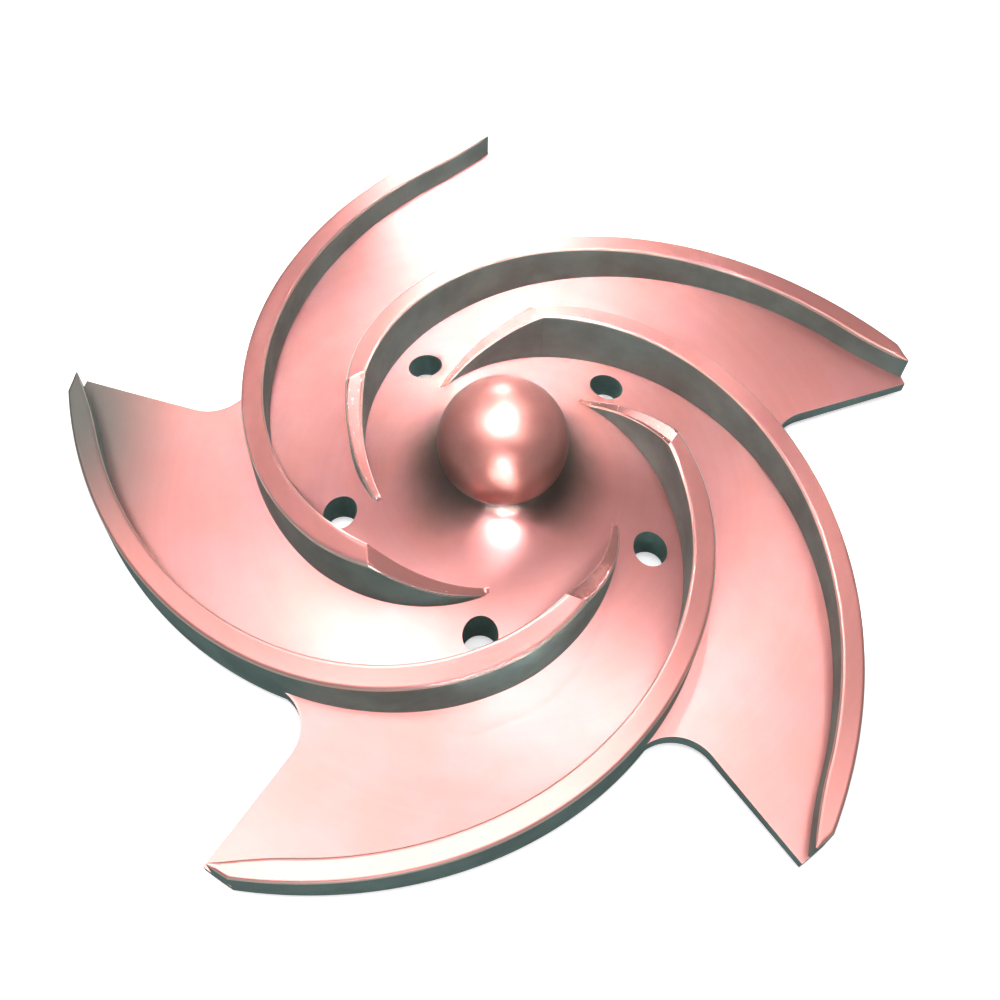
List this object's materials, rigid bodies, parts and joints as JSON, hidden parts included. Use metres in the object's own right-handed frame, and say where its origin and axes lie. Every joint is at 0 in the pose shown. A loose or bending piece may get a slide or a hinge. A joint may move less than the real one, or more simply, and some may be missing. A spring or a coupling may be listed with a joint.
{
  "type": "open pump impeller",
  "caption": "Open centrifugal pump impeller with spiral vanes on a lobed back shroud, a flared hub with a ball nose and a blind shaft bore.",
  "frame": {"origin": "on the shaft axis, at the rear face of the hub, on which the part rests", "axes": "+Z along the shaft axis towards the nose; +Y towards the tip of the first vane"},
  "size_m": [0.2441, 0.2351, 0.0574],
  "materials": {
    "rose_bronze": "satin",
    "nose_bronze": "polished"
  },
  "bodies": {
    "root": {"hub": "rose_bronze", "nose_cap": "nose_bronze", "back_shroud": "rose_bronze", "vane_1": "rose_bronze", "vane_2": "rose_bronze", "vane_3": "rose_bronze", "vane_4": "rose_bronze", "vane_5": "rose_bronze"}
  },
  "joints": []
}
